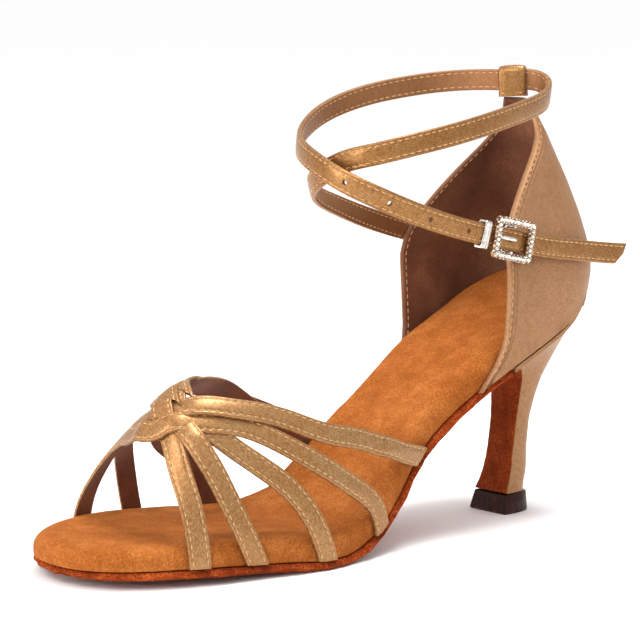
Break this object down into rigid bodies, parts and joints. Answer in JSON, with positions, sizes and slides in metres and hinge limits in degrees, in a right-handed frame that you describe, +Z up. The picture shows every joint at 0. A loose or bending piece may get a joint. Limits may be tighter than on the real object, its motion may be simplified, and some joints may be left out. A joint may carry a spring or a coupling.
{
  "type": "ballroom dance shoe",
  "caption": "Left open-toed ballroom dance shoe with woven satin vamp straps, closed heel cup, slim flared heel, suede sole and crossed ankle strap with a stone-set buckle.",
  "frame": {"origin": "on the floor face of the heel tip, under the middle of the heel's stem", "axes": "+Z up, -Y towards the toe, +X towards the outer side of the left foot"},
  "size_m": [0.0764, 0.2196, 0.1535],
  "materials": {
    "satin": "satin weave with a soft sheen",
    "footbed_suede": "matte suede",
    "sole_suede": "matte napped suede",
    "tip_plastic": "glossy",
    "silver_metal": "polished"
  },
  "bodies": {
    "root": {"outsole": "sole_suede", "insole": "footbed_suede", "heel": "satin", "heel_breast_cover": "sole_suede", "heel_tip": "tip_plastic", "vamp": "satin", "counter": "satin", "strap_loop": "satin", "ankle_strap": "satin", "buckle_frame": "silver_metal", "buckle_prong": "silver_metal", "buckle_keeper": "silver_metal", "buckle_tab": "satin"}
  },
  "joints": []
}
